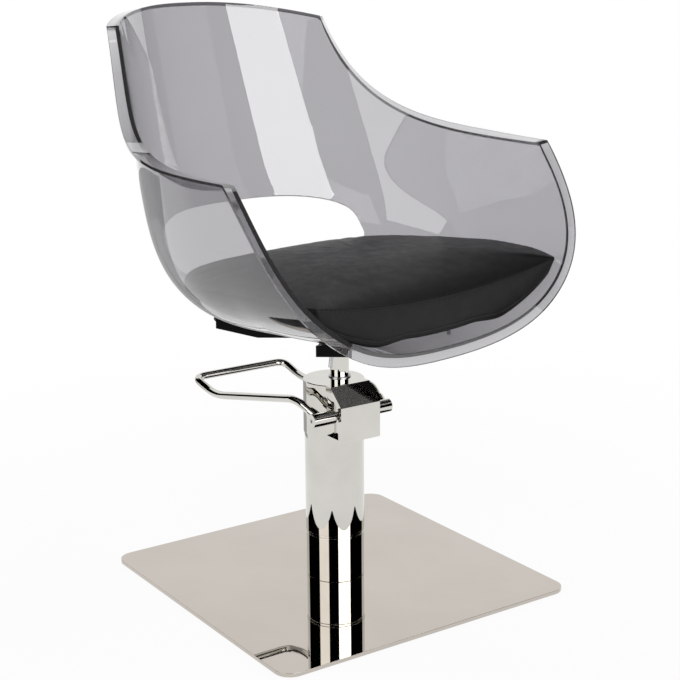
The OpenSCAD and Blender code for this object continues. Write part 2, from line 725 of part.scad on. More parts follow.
// Shell
module window_shape() {
    mid = (window_high + window_low) / 2;
    polygon([for (i = [0 : round_fn - 1]) let (t = 360 * (i + 0.5) / round_fn, p = 2 / window_power)
        [window_w / 2 * sign(cos(t)) * pow(abs(cos(t)), p),
         mid + (window_high - mid) * sign(sin(t)) * pow(abs(sin(t)), p)]]);
}
module shell() {
    right = [for (i = [0 : rim_last]) shell_column(i)];
    left = [for (i = [rim_last - 1 : -1 : 1]) [for (p = right[i]) mirrored(p)]];
    columns = concat(right, left);
    rings = [for (r = [0 : len(columns[0]) - 1]) [for (c = columns) c[r]]];
    low = shell_floor - droop(tub_mid_y);
    color("lightgray", 0.5) seat_frame() difference() {
        ring_solid(rings, [0, tub_mid_y, low + shell_wall], [0, tub_mid_y, low]);
        translate([0, shell_back_depth, 0]) rotate([90, 0, 0])
            linear_extrude(shell_back_depth) window_shape();
        at_bolts() translate([0, 0, -cut]) cylinder(r = bolt_hole_r, h = 3 * shell_wall, $fn = round_fn);
    }
}

// Height over a point of the plan at a distance from the shell's outer face
function height_over(x, y, gap) = let (n = floor_normal([x, y]),
    m = floor_normal([x + gap * n.x, y + gap * n.y]))
    floor_z(x + gap * m.x, y + gap * m.y) - gap * m.z;

// Cushion
cushion_front_y = lip_y + cushion_setback;
cushion_float = washer_low - shell_wall + washer_t + bolt_head_h + cushion_floor_gap;
function cushion_edge_z(a) = seam_z + (cushion_side_z - seam_z) * eased((a + 90) / cushion_rise_turn)
    + (cushion_back_z - cushion_side_z) * eased(a / cushion_back_turn);
function cushion_back(x) = cushion_back_y
    - (cushion_back_y - cushion_corner_y) * pow(abs(x) / cushion_half_w, 4);
function cushion_edge(a) = let (z = cushion_edge_z(a), q = wall_point(a, level_of(a, z)),
    p = q - (shell_wall + cushion_gap) * wall_normal(q, a), x = min(p.x, cushion_half_w))
    [x, min(cushion_back(x), max(cushion_front_y, p.y)), z];
// Point of the underside at a share of the way from the middle to the edge
function cushion_under(p, s) = let (x = p.x * s, y = cushion_mid_y + (p.y - cushion_mid_y) * s,
    t = (abs(x) / cushion_half_w - cushion_flat_share) / (1 - cushion_flat_share))
    [x, y, height_over(x, y, shell_wall + cushion_gap + cushion_float * (1 - eased(t)))];
module cushion() {
    under_shares = [0.35, 0.6, 0.8, 0.92, 0.98];
    tops = 2;
    edge = [for (i = [0 : cushion_columns / 2]) cushion_edge(-90 + 360 * i / cushion_columns)];
    under = [for (s = under_shares) [for (p = edge) cushion_under(p, s)]];
    crown = [for (j = [0 : tops - 1]) let (s = cos(90 * j / tops)) [for (p = edge)
        [p.x * s, cushion_mid_y + (p.y - cushion_mid_y) * s, p.z + (cushion_high - p.z) * (1 - pow(s, 2))]]];
    rows = concat(under, crown);
    rings = [for (i = [len(rows) - 1 : -1 : 0]) let (r = rows[i])
        concat(r, [for (j = [len(r) - 2 : -1 : 1]) mirrored(r[j])])];
    color([0.15, 0.15, 0.15]) seat_frame() ring_solid(rings, [0, cushion_mid_y, cushion_high],
        cushion_under([0, cushion_mid_y, 0], 0));
}

base_cover();
base_weight();
floor_pad();
base_screws();
pump_foot();
lower_collar();
column_ring();
column_tube();
pump_cylinder();
plunger_barrel();
pump_head();
guide_bush();
rod_gland();
lever_shaft();
lever_cam();
lever_hubs();
hub_screws();
foot_lever();
plunger();
plunger_spring();
piston();
piston_seal();
thrust_washer();
piston_rod();
seat_bracket();
bracket_pads();
seat_bolts();
bolt_washers();
shell();
cushion();
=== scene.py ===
import json
import math
from functools import lru_cache
import bmesh
import bpy
from mathutils import Matrix, Vector
from mathutils.bvhtree import BVHTree

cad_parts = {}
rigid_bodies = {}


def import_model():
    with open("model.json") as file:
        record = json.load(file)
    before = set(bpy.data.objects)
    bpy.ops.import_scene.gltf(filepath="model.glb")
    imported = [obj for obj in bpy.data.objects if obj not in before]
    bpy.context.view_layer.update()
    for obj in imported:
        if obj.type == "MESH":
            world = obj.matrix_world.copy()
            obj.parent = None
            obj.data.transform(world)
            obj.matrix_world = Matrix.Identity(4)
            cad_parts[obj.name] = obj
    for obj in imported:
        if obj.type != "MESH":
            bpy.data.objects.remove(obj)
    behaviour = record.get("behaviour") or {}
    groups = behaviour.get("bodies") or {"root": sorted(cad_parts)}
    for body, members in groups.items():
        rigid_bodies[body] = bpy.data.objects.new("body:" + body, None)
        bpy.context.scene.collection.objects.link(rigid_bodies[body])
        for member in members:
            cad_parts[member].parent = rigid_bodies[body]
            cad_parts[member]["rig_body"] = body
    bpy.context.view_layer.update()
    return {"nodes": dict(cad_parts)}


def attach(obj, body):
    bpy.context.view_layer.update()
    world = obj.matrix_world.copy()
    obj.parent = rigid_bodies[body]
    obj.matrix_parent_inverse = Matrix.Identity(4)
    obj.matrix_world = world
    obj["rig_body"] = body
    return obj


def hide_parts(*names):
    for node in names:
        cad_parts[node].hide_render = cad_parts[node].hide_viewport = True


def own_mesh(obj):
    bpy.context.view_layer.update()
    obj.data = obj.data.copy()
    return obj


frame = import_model()
scene = bpy.context.scene
seat = {"place": (0.012, 0.002, 0), "turn": 8}  # the seat's post beside the column (metres, degrees)
seatPlace = Matrix.Translation(seat["place"]) @ Matrix.Rotation(math.radians(seat["turn"]), 4, "Z")
print("frame loaded")

# Camera at the photograph's place
view = {"yaw": -34.105, "pitch": 14.621, "roll": -0.508, "place": (-1.20138, -1.79149, 0.93561),
        "lens": 80.055, "sensor": 36, "farEnd": 200}


def addCamera():
    yaw, pitch, roll = (math.radians(view[k]) for k in ("yaw", "pitch", "roll"))
    level = Vector((-math.sin(yaw), math.cos(yaw), 0))
    side = Vector((math.cos(yaw), math.sin(yaw), 0))
    up = Vector((0, 0, 1))
    ahead = level * math.cos(pitch) - up * math.sin(pitch)
    rise = up * math.cos(pitch) + level * math.sin(pitch)
    right = side * math.cos(roll) + rise * math.sin(roll)
    top = rise * math.cos(roll) - side * math.sin(roll)
    lens = bpy.data.cameras.new("camera")
    lens.lens, lens.sensor_width, lens.clip_end = view["lens"], view["sensor"], view["farEnd"]
    camera = bpy.data.objects.new("camera", lens)
    scene.collection.objects.link(camera)
    turn = Matrix((right, top, -ahead)).transposed().to_4x4()
    camera.matrix_world = Matrix.Translation(view["place"]) @ turn
    scene.camera = camera


addCamera()
scene.view_settings.view_transform = "Standard"


# Node helpers: values go to sockets by name, or by number as i0, i1, and a socket as a value makes a link
def addNode(tree, kind, settings=None, **values):
    n = tree.nodes.new(kind)
    for key, value in (settings or {}).items():
        setattr(n, key, value)
    for key, value in values.items():
        numbered = key[0] == "i" and key[1:].isdigit()
        socket = n.inputs[int(key[1:])] if numbered else n.inputs[key.replace("_", " ")]
        if isinstance(value, bpy.types.NodeSocket):
            tree.links.new(value, socket)
        else:
            socket.default_value = value
    return n


def addNoise(tree, place, scale, detail, roughness=0.5):
    noise = addNode(tree, "ShaderNodeTexNoise", Vector=place, Scale=scale, Detail=detail, Roughness=roughness)
    return noise.outputs["Fac"]


def toneRamp(tree, factor, tones, places=(0.35, 0.65)):
    ramp = addNode(tree, "ShaderNodeValToRGB", Fac=factor)
    for element, place, tone in zip(ramp.color_ramp.elements, places, tones):
        element.position, element.color = place, (*tone, 1)
    return ramp.outputs["Color"]


def spread(tree, value, low, high, fromLow=0.3, fromHigh=0.7):
    out = addNode(tree, "ShaderNodeMapRange", i0=value, i1=fromLow, i2=fromHigh, i3=low, i4=high)
    return out.outputs[0]


def newMaterial(name):
    material = bpy.data.materials.new(name)
    material.use_nodes = True
    nodes = material.node_tree.nodes
    shader = next(n for n in nodes if n.type == "BSDF_PRINCIPLED")
    out = next(n for n in nodes if n.type == "OUTPUT_MATERIAL")
    return material, material.node_tree, shader, out


# A finish: two tones in slow clouds, roughness in finer clouds, and a fine grain in the bump
def addFinish(name, look):
    material, tree, shader, _ = newMaterial(name)
    place = addNode(tree, "ShaderNodeTexCoord").outputs["Object"]
    cloud = addNoise(tree, place, look["cloud"], 4.0, 0.6)
    smear = addNoise(tree, place, look["smear"], 6.0, 0.65)
    tree.links.new(toneRamp(tree, cloud, look["tones"]), shader.inputs["Base Color"])
    tree.links.new(spread(tree, smear, *look["rough"]), shader.inputs["Roughness"])
    if look.get("cells"):
        cells = addNode(tree, "ShaderNodeTexVoronoi", {"feature": "DISTANCE_TO_EDGE"}, Vector=place,
                        Scale=look["grain"])
        grain = spread(tree, cells.outputs["Distance"], 0, 1, 0, 0.2)
    else:
        grain = addNoise(tree, place, look["grain"], 5.0)
    bump = addNode(tree, "ShaderNodeBump", Strength=look["bump"], Distance=look["height"], Height=grain)
    tree.links.new(bump.outputs[0], shader.inputs["Normal"])
    for socket, value in look.get("fixed", {}).items():
        shader.inputs[socket].default_value = value
    return material


chromeLook = {"tones": [(0.61, 0.595, 0.555), (0.66, 0.643, 0.602)], "cloud": 14, "smear": 60,
              "rough": (0.010, 0.032), "grain": 240, "bump": 0.012, "height": 0.0001,
              "fixed": {"Metallic": 1.0}}
plateLook = {"tones": [(0.530, 0.487, 0.442), (0.560, 0.515, 0.470)], "cloud": 6, "smear": 35,
             "rough": (0.006, 0.022), "grain": 160, "bump": 0.012, "height": 0.0001,
             "fixed": {"Metallic": 1.0}}
steelLook = {"tones": [(0.46, 0.46, 0.47), (0.58, 0.58, 0.59)], "cloud": 30, "smear": 160,
             "rough": (0.18, 0.34), "grain": 700, "bump": 0.12, "height": 0.0002,
             "fixed": {"Metallic": 1.0}}
castLook = {"tones": [(0.05, 0.05, 0.05), (0.10, 0.095, 0.09)], "cloud": 25, "smear": 90,
            "rough": (0.55, 0.8), "grain": 420, "bump": 0.5, "height": 0.0006,
            "fixed": {"Metallic": 0.6}}
paintLook = {"tones": [(0.0028, 0.0028, 0.0030), (0.0056, 0.0056, 0.0060)], "cloud": 18, "smear": 120,
             "rough": (0.26, 0.42), "grain": 900, "bump": 0.18, "height": 0.0003,
             "fixed": {"Specular IOR Level": 0.07}}
rubberLook = {"tones": [(0.016, 0.016, 0.016), (0.032, 0.031, 0.030)], "cloud": 22, "smear": 90,
              "rough": (0.6, 0.8), "grain": 800, "bump": 0.3, "height": 0.0003}
bronzeLook = {"tones": [(0.36, 0.22, 0.09), (0.50, 0.32, 0.14)], "cloud": 40, "smear": 150,
              "rough": (0.25, 0.42), "grain": 600, "bump": 0.12, "height": 0.0002,
              "fixed": {"Metallic": 1.0}}
leatherLook = {"tones": [(0.0042, 0.0042, 0.0044), (0.0068, 0.0068, 0.0070)], "cloud": 9, "smear": 55,
               "rough": (0.36, 0.50), "grain": 620, "cells": True, "bump": 0.22, "height": 0.0005,
               "fixed": {"Specular IOR Level": 0.22, "Sheen Weight": 0.02, "Sheen Roughness": 0.4}}
threadLook = {"tones": [(0.008, 0.008, 0.009), (0.018, 0.018, 0.019)], "cloud": 80, "smear": 400,
              "rough": (0.5, 0.7), "grain": 2500, "bump": 0.4, "height": 0.0002}
chrome = addFinish("brightChrome", chromeLook)
plateSteel = addFinish("polishedSteel", plateLook)
steel = addFinish("plainSteel", steelLook)
castIron = addFinish("castIron", castLook)
blackPaint = addFinish("blackPaint", paintLook)
rubber = addFinish("blackRubber", rubberLook)
bronze = addFinish("bearingBronze", bronzeLook)
leather = addFinish("blackLeather", leatherLook)
thread = addFinish("sewingThread", threadLook)

# Smoked clear plastic: a nearly clear skin over an inside that absorbs light, so that cut edges turn dark
smokeLook = {"tint": [(0.90, 0.895, 0.90), (0.94, 0.935, 0.94)], "cloud": 3.0, "wipe": 28.0,
             "rough": (0.004, 0.012), "ior": 1.49, "clear": 0.96, "coat": 1.0, "coatRough": 0.006,
             "smoke": (0.40, 0.387, 0.424), "density": 180}


def addSmokeClear(name, look):
    material, tree, shader, out = newMaterial(name)
    place = addNode(tree, "ShaderNodeTexCoord").outputs["Object"]
    cloud = addNoise(tree, place, look["cloud"], 2.0)
    wipe = addNoise(tree, place, look["wipe"], 6.0, 0.7)
    tree.links.new(toneRamp(tree, cloud, look["tint"]), shader.inputs["Base Color"])
    tree.links.new(spread(tree, wipe, *look["rough"]), shader.inputs["Roughness"])
    shader.inputs["Transmission Weight"].default_value = look["clear"]
    shader.inputs["IOR"].default_value = look["ior"]
    shader.inputs["Coat Weight"].default_value = look["coat"]
    shader.inputs["Coat Roughness"].default_value = look["coatRough"]
    inside = addNode(tree, "ShaderNodeVolumeAbsorption", Color=(*look["smoke"], 1), Density=look["density"])
    tree.links.new(inside.outputs[0], out.inputs["Volume"])
    return material


smokeClear = addSmokeClear("smokeClear", smokeLook)
print("finishes made")


# Pieces are made in millimetres and seat coordinates, and come out in metres at the seat's place
def finishPiece(name, bm, material, body, seatFrame=True):
    if seatFrame:
        bmesh.ops.transform(bm, matrix=seatPlace @ Matrix.Scale(0.001, 4), verts=bm.verts)
    mesh = bpy.data.meshes.new(name)
    for f in bm.faces:
        f.smooth = True
    bm.to_mesh(mesh)
    bm.free()
    mesh.materials.append(material)
    piece = bpy.data.objects.new(name, mesh)
    scene.collection.objects.link(piece)
    if body:
        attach(piece, body)
    return piece


def applyModifiers(piece):
    graph = bpy.context.evaluated_depsgraph_get()
    mesh = bpy.data.meshes.new_from_object(piece.evaluated_get(graph), depsgraph=graph)
    piece.modifiers.clear()
    piece.data = mesh


# Clear tub: a bowl and its back, a rim that stands outwards, and an opening in the back. The wall follows
# rounded squares in plan and in height, whose powers say how full they are. Angles run from the front at -90
# by the side at 0 to the back at 90, levels from the floor's middle at 0 to the bowl's top at 90 and above.
tub = {"halfWidth": 296, "floor": 412, "sideTop": 650, "top": 850, "middleY": -100,
       "backDepth": 453, "frontDepth": 380, "backLean": 0.307, "wallRise": 3, "wall": 6,
       "planPower": 2.3, "frontFullness": 2.45, "backFullness": 4, "fullnessTurn": 25,
       "lipY": -222, "droop": 20, "droopY": -40,
       "rimThick": 4.5, "rimFront": 12, "rimArm": 21, "rimBack": 11, "rimTurn": 10, "rimFade": (25, 50),
       "rimLift": 0.2, "rimStep": 0.97, "rimSlant": 0.4, "rimDeepest": 13, "rimLowest": 0.3,
       "frontCurve": [(-252, 450), (-194, 565), (-127, 647)],
       "armCurve": [(-127, 647), (95, 650), (187, 664), (258, 826)],
       "columns": (44, 54, 36), "frontGather": 1.6, "rows": 78, "rimRows": 3, "planSteps": 14, "rimSteps": 30,
       "window": {"halfWidth": 194, "middle": 501, "halfHeight": 47, "power": 3.2, "behind": 100,
                  "around": 1.4},
       "sharpTurn": 50, "edgeRound": 1.3, "edgeSteps": 3}


def eased(t):
    c = min(max(t, 0), 1)
    return c * c * (3 - 2 * c)


def bezier(points, t):
    weights = ((1 - t) ** 3, 3 * (1 - t) ** 2 * t, 3 * (1 - t) * t * t, t ** 3)
    return [sum(w * c for w, c in zip(weights, row)) for row in zip(*points)]


def sine(a):
    return math.sin(math.radians(a))


def cosine(a):
    return math.cos(math.radians(a))


def fullness(a):
    share = eased((a + tub["fullnessTurn"]) / (2 * tub["fullnessTurn"]))
    return tub["frontFullness"] + (tub["backFullness"] - tub["frontFullness"]) * share


def depthAt(side, z):
    return tub["backDepth"] + tub["backLean"] * (z - tub["top"]) if side > 0 else tub["frontDepth"]


def bowlHeight():
    return tub["sideTop"] - tub["floor"]


def droop(y):
    return tub["droop"] * max(0, (tub["droopY"] - y) / (tub["droopY"] - tub["lipY"])) ** 2


def bowlSpread(a, z):
    m = fullness(a)
    return max(0, 1 - (max(0, tub["sideTop"] - z) / bowlHeight()) ** m) ** (1 / m)


def wallPoint(a, v):
    m = fullness(a)
    if v >= 90:
        z, k = tub["sideTop"] + (v - 90) * tub["wallRise"], 1
    else:
        z, k = tub["sideTop"] - bowlHeight() * max(0, cosine(v)) ** (2 / m), max(0, sine(v)) ** (2 / m)
    n = tub["planPower"]
    y = tub["middleY"] + (1 if a > 0 else -1) * depthAt(a, z) * k * abs(sine(a)) ** (2 / n)
    return Vector((tub["halfWidth"] * k * max(0, cosine(a)) ** (2 / n), y, z - droop(y)))


def wallNormal(p, a):
    z, m, n = p.z + droop(p.y), fullness(a), tub["planPower"]
    d, t = depthAt(a, z), max(0, tub["sideTop"] - z) / bowlHeight()
    k, lean = max(bowlSpread(a, z), 0.001), tub["backLean"] if a > 0 else 0
    off = p.y - tub["middleY"]
    gx = (abs(p.x) / tub["halfWidth"]) ** (n - 1) / tub["halfWidth"]
    gy = math.copysign((abs(off) / d) ** (n - 1) / d, off)
    gz = -k ** (n - 1) * t ** (m - 1) * k ** (1 - m) / bowlHeight() - (abs(off) / d) ** n * lean / d
    slope = -2 * tub["droop"] * max(0, tub["droopY"] - p.y) / (tub["droopY"] - tub["lipY"]) ** 2
    return Vector((gx, gy + gz * slope, gz)).normalized()


def levelOf(a, z):
    if z > tub["sideTop"]:
        return 90 + (z - tub["sideTop"]) / tub["wallRise"]
    return math.degrees(math.acos(min(1, ((tub["sideTop"] - z) / bowlHeight()) ** (fullness(a) / 2))))


def planAngle(y, z):
    a = 0
    for _ in range(tub["planSteps"]):
        k = max(bowlSpread(a, z + droop(y)), 0.001)
        u = min(1, max(-1, (y - tub["middleY"]) / (depthAt(y - tub["middleY"], z + droop(y)) * k)))
        a = math.degrees(math.asin(math.copysign(abs(u) ** (tub["planPower"] / 2), u)))
    return a


def rimWidth(a):
    front, arm, back = tub["rimFront"], tub["rimArm"], tub["rimBack"]
    toArm = eased((a + tub["rimTurn"]) / tub["rimFade"][0])
    toBack = eased((a - tub["rimTurn"]) / tub["rimFade"][1])
    return front + (arm - front) * toArm + (back - arm) * toBack


# The rim's line on one side, from the front's middle over the arm to the back's middle
def rimLine():
    reach = (tub["middleY"] - tub["lipY"]) / tub["frontDepth"]
    m = tub["frontFullness"]
    lip = (tub["lipY"], tub["sideTop"] - tub["droop"] - bowlHeight() * (1 - reach ** m) ** (1 / m))
    front, arm, top = tub["columns"]
    line = [bezier([lip, *tub["frontCurve"]], (i / front) ** tub["frontGather"]) for i in range(front)]
    line += [bezier(tub["armCurve"], i / arm) for i in range(arm)]
    y, z = tub["armCurve"][-1]
    topY = tub["middleY"] + tub["backDepth"]
    shares = [sine(90 * i / top) for i in range(top + 1)]
    line += [(y + (topY - y) * s, z + (tub["top"] - z) * s) for s in shares]
    angles = [-90] + [planAngle(y, z) for y, z in line[1:-1]] + [90]
    return [(a, levelOf(a, z + droop(y))) for a, (y, z) in zip(angles, line)]


# One column of the tub: up the outside, out and round the rim, and down the inside
def tubProfile(a, v, before, after):
    rim = wallPoint(a, v)
    along = (after - before).normalized()
    down = (wallPoint(a, v * tub["rimStep"]) - rim).normalized()
    need = min(tub["rimThick"] / max(tub["rimSlant"], down.cross(along).length), tub["rimDeepest"])
    low, high = tub["rimLowest"], 1.0
    for _ in range(tub["rimSteps"]):
        s = (low + high) / 2
        low, high = (s, high) if (wallPoint(a, v * s) - rim).length > need else (low, s)
    end, n, w = (low + high) / 2, wallNormal(rim, a), rimWidth(a)
    rows = tub["rows"]
    outer = [wallPoint(a, v * end * j / rows) for j in range(rows + 1)]
    inner = [p - tub["wall"] * (wallNormal(p, a) if j else Vector((0, 0, -1))) for j, p in enumerate(outer)]
    fall = (down - down.dot(along) * along).normalized()
    reach = w * (n - tub["rimLift"] * fall)
    return outer + [outer[-1] + reach, rim + reach, rim - tub["wall"] * n] + inner[::-1]


# How far out a point lies from the window's middle: 1 on its outline
def windowReach(p):
    w = tub["window"]
    x, z = abs(p.x) / w["halfWidth"], abs(p.z - w["middle"]) / w["halfHeight"]
    return (x ** w["power"] + z ** w["power"]) ** (1 / w["power"])


def backPoint(x, z):
    k = bowlSpread(90, z)
    n = tub["planPower"]
    y = tub["middleY"] + depthAt(1, z) * k * max(0, 1 - (abs(x) / (tub["halfWidth"] * k)) ** n) ** (1 / n)
    side = planAngle(y, z)
    p = Vector((abs(x), y, z))
    normal = wallNormal(p, side)
    return Vector((x, y, z)), Vector((math.copysign(normal.x, x), normal.y, normal.z))


def makeTub():
    line = rimLine()
    rims = [wallPoint(a, v) for a, v in line]
    flip = Matrix.Scale(-1, 3, (1, 0, 0))
    columns = []
    for i, (a, v) in enumerate(line):
        before = rims[i - 1] if i else flip @ rims[1]
        after = rims[i + 1] if i < len(line) - 1 else flip @ rims[i - 1]
        columns.append(tubProfile(a, v, before, after))
    tall = len(columns[0]) - 1
    wide = len(line) - 1
    rows = tub["rows"]
    bm = bmesh.new()
    rowOf = bm.verts.layers.int.new("row")
    bmesh.ops.create_grid(bm, x_segments=wide, y_segments=tall, size=1)
    for vert in bm.verts:
        i, j = round((vert.co.x + 1) / 2 * wide), round((vert.co.y + 1) / 2 * tall)
        vert.co, vert[rowOf] = columns[i][j], j
    bmesh.ops.mirror(bm, geom=bm.verts[:] + bm.edges[:] + bm.faces[:], axis="X", merge_dist=0.001)
    bmesh.ops.remove_doubles(bm, verts=bm.verts, dist=0.01)

    # the back's opening: the faces inside go, both edges are bridged, then drawn on to the outline
    w = tub["window"]

    def inWindow(face):
        middle = face.calc_center_median()
        outside = all(v[rowOf] <= rows for v in face.verts)
        lining = all(v[rowOf] >= rows + tub["rimRows"] for v in face.verts)
        return middle.y > w["behind"] and windowReach(middle) < 1 and (outside or lining)

    def byWindow(edge):
        place = edge.verts[0].co
        return edge.is_boundary and windowReach(place) < w["around"] and place.y > w["behind"]

    bmesh.ops.delete(bm, geom=[f for f in bm.faces if inWindow(f)], context="FACES")
    ring = [e for e in bm.edges if byWindow(e)]
    edge = {v for e in ring for v in e.verts}
    bmesh.ops.bridge_loops(bm, edges=ring)
    for v in edge:
        r = windowReach(v.co)
        place, normal = backPoint(v.co.x / r, w["middle"] + (v.co.z - w["middle"]) / r)
        v.co = place if v[rowOf] <= rows else place - tub["wall"] * normal
    bmesh.ops.dissolve_degenerate(bm, edges=bm.edges, dist=0.3)
    bmesh.ops.recalc_face_normals(bm, faces=bm.faces)
    sharpTurn = math.radians(tub["sharpTurn"])
    sharp = [e for e in bm.edges if len(e.link_faces) == 2 and e.calc_face_angle() > sharpTurn]
    bmesh.ops.bevel(bm, geom=sharp, offset=tub["edgeRound"], segments=tub["edgeSteps"], profile=0.5,
                    affect="EDGES", material=-1, clamp_overlap=True)
    piece = finishPiece("clearTub", bm, smokeClear, "seat")
    weighted = piece.modifiers.new("weighted", "WEIGHTED_NORMAL")
    weighted.weight = 80
    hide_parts("shell")
    return piece


clearTub = makeTub()
print("tub made", len(clearTub.data.polygons))

# Seat cushion: a crowned start shape, filled by a short cloth run, then its sewing. Its edge runs round just
# inside the bowl, and its underside keeps clear of the bowl's floor.
cushion = {"halfWidth": 258, "high": 499, "middleY": -40, "backY": 145, "cornerY": 20, "cornerPower": 4,
           "frontY": -214, "seam": 471, "sideZ": 497, "backZ": 485, "sideTurn": 100, "backTurn": 25,
           "gap": 1.2, "lift": 12, "flatShare": 0.6, "floorSteps": 8,
           "frontLift": 12, "frontHalf": 60, "frontFade": 70, "frontEnd": -195, "frontRun": 45,
           "turns": 200, "rings": 72, "crownPower": 4, "dome": 4, "lowTurn": 36, "lowInset": 0.97,
           "lowSeam": -30, "pressure": 4.0, "frames": 20, "clothSteps": 6, "heldTurn": 6,
           "topRise": 12, "faceRise": 4, "sideRise": 0.6, "frontBand": 12, "tuck": 0.004, "tuckZ": 470,
           "stitchRows": (5, -2.5), "stitch": 3.8, "pitch": 5.4, "threadRadius": 0.45, "threadTaper": 0.7,
           "cordRadius": 0.8}


def cushionEdge(a):
    c = cushion
    toSide, toBack = eased((a + 90) / c["sideTurn"]), eased(a / c["backTurn"])
    z = c["seam"] + (c["sideZ"] - c["seam"]) * toSide + (c["backZ"] - c["sideZ"]) * toBack
    q = wallPoint(a, levelOf(a, z))
    p = q - (tub["wall"] + c["gap"]) * wallNormal(q, a)
    x = min(p.x, c["halfWidth"])
    back = c["backY"] - (c["backY"] - c["cornerY"]) * (abs(x) / c["halfWidth"]) ** c["cornerPower"]
    return Vector((x, min(back, max(c["frontY"], p.y)), z))


def floorZ(x, y):
    z, n = tub["floor"], tub["planPower"]
    off = y - tub["middleY"]
    for _ in range(cushion["floorSteps"]):
        u, w = abs(off) / depthAt(off, z), abs(x) / tub["halfWidth"]
        k = max((w ** n + u ** n) ** (1 / n), 0.001)
        turn = math.degrees(math.asin(min(1, u / k) ** (n / 2)))
        m = fullness(math.copysign(turn, off))
        z = tub["sideTop"] - bowlHeight() * max(0, 1 - min(1, k) ** m) ** (1 / m)
    return z - droop(y)


def heightOver(x, y, gap):
    def slope(x, y):
        across, along = floorZ(x + 1, y) - floorZ(x - 1, y), floorZ(x, y + 1) - floorZ(x, y - 1)
        return Vector((across / 2, along / 2, -1)).normalized()
    n = slope(x, y)
    m = slope(x + gap * n.x, y + gap * n.y)
    return floorZ(x + gap * m.x, y + gap * m.y) - gap * m.z


# The underside stands off the floor in the middle, and under the front's middle
def liftAt(x, y):
    c = cushion
    over = 1 - eased((abs(x) / c["halfWidth"] - c["flatShare"]) / (1 - c["flatShare"]))
    front = c["frontLift"] * (1 - eased((abs(x) - c["frontHalf"]) / c["frontFade"]))
    return front + (c["lift"] * over - front) * eased((y - c["frontEnd"]) / c["frontRun"])


def underPoint(e, s):
    c = cushion
    x, y = e.x * s, c["middleY"] + (e.y - c["middleY"]) * s
    return Vector((x, y, heightOver(x, y, tub["wall"] + c["gap"] + liftAt(x, y))))


@lru_cache(maxsize=None)  # both halves read the same points
def halfPoint(turn, rise):
    c = cushion
    e = cushionEdge(turn)
    if rise >= 0:
        s = cosine(rise)
        z = e.z + (c["high"] - e.z) * (1 - s ** c["crownPower"]) ** 0.5 + c["dome"] * (1 - s * s)
        return Vector((e.x * s, c["middleY"] + (e.y - c["middleY"]) * s, z))
    if rise > -c["lowTurn"]:
        return e.lerp(underPoint(e, c["lowInset"]), -rise / c["lowTurn"])
    return underPoint(e, c["lowInset"] * (90 + rise) / (90 - c["lowTurn"]))


def cushionPoint(direction):
    turn = math.degrees(math.atan2(direction.y, abs(direction.x)))
    rise = math.degrees(math.asin(max(-1, min(1, direction.z))))
    p = halfPoint(round(turn, 3), round(rise, 3))
    return Vector((math.copysign(p.x, direction.x), p.y, p.z))


# A new sphere's edges and faces come in another order each time, which the cloth run's folds would follow
def sortByVertices(bm):
    bm.verts.index_update()
    many = len(bm.verts)

    def rank(part):
        ends = sorted(v.index for v in part.verts)
        return (ends[0] * many + ends[1]) * many + ends[-1]
    bm.edges.sort(key=rank)
    bm.faces.sort(key=rank)


# A sphere's rings and turns drawn on to the cushion; the marks keep each vertex's rise and turn in degrees
def cushionStart():
    bm = bmesh.new()
    bmesh.ops.create_uvsphere(bm, u_segments=cushion["turns"], v_segments=cushion["rings"], radius=1)
    sortByVertices(bm)
    marks = []
    for v in bm.verts:
        d = v.co.normalized()
        rise = math.degrees(math.asin(max(-1, min(1, d.z))))
        marks.append((round(rise, 2), math.degrees(math.atan2(d.y, d.x))))
        v.co = cushionPoint(d)
    bmesh.ops.recalc_face_normals(bm, faces=bm.faces)
    return bm, marks


def fillCushion(piece, marks):
    # the seam and the underside are held, the top and the front swell between them
    back = seatPlace.inverted()
    start = [back @ v.co * 1000 for v in piece.data.vertices]
    held = piece.vertex_groups.new(name="held")
    for i, (rise, turn) in enumerate(marks):
        share = 1.0 if rise <= cushion["lowSeam"] else max(0.0, 1 - abs(rise) / cushion["heldTurn"])
        held.add([i], share, "REPLACE")
    cloth = piece.modifiers.new("cloth", "CLOTH")
    cloth.settings.vertex_group_mass = "held"
    cloth.settings.use_pressure = True
    cloth.settings.uniform_pressure_force = cushion["pressure"]
    cloth.settings.effector_weights.gravity = 0
    cloth.settings.quality = cushion["clothSteps"]
    cloth.point_cache.frame_start, cloth.point_cache.frame_end = 1, cushion["frames"]
    for f in range(1, cushion["frames"] + 1):
        scene.frame_set(f)
    graph = bpy.context.evaluated_depsgraph_get()
    filled = [back @ v.co * 1000 for v in piece.evaluated_get(graph).data.vertices]
    piece.modifiers.clear()
    scene.frame_set(1)
    return start, filled


def makeCushion():
    c = cushion
    bm, marks = cushionStart()
    piece = finishPiece("seatCushion", bm, leather, None)
    for e in piece.data.edges:
        e.vertices = sorted(e.vertices)
    start, filled = fillCushion(piece, marks)
    moves = [b - a for a, b in zip(start, filled)]
    print("cushion swells by up to", round(max(m.length for m in moves), 1), "mm")
    for i, ((rise, turn), p, m) in enumerate(zip(marks, start, moves)):
        front = p.y < c["frontY"] + c["frontBand"]
        most = c["topRise"] if rise >= 0 else c["faceRise"] if front else c["sideRise"]
        q = p + m * min(1, most / max(m.length, 0.001))
        if rise in (0, c["lowSeam"]):  # both seams are drawn in a little
            q = q.lerp(Vector((0, c["middleY"], c["tuckZ"])), c["tuck"])
        piece.data.vertices[i].co = seatPlace @ (q / 1000)
    fine = piece.modifiers.new("fine", "SUBSURF")
    fine.levels = fine.render_levels = 1
    applyModifiers(piece)
    for f in piece.data.polygons:
        f.use_smooth = True
    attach(piece, "seat")
    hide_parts("cushion")
    return piece, marks


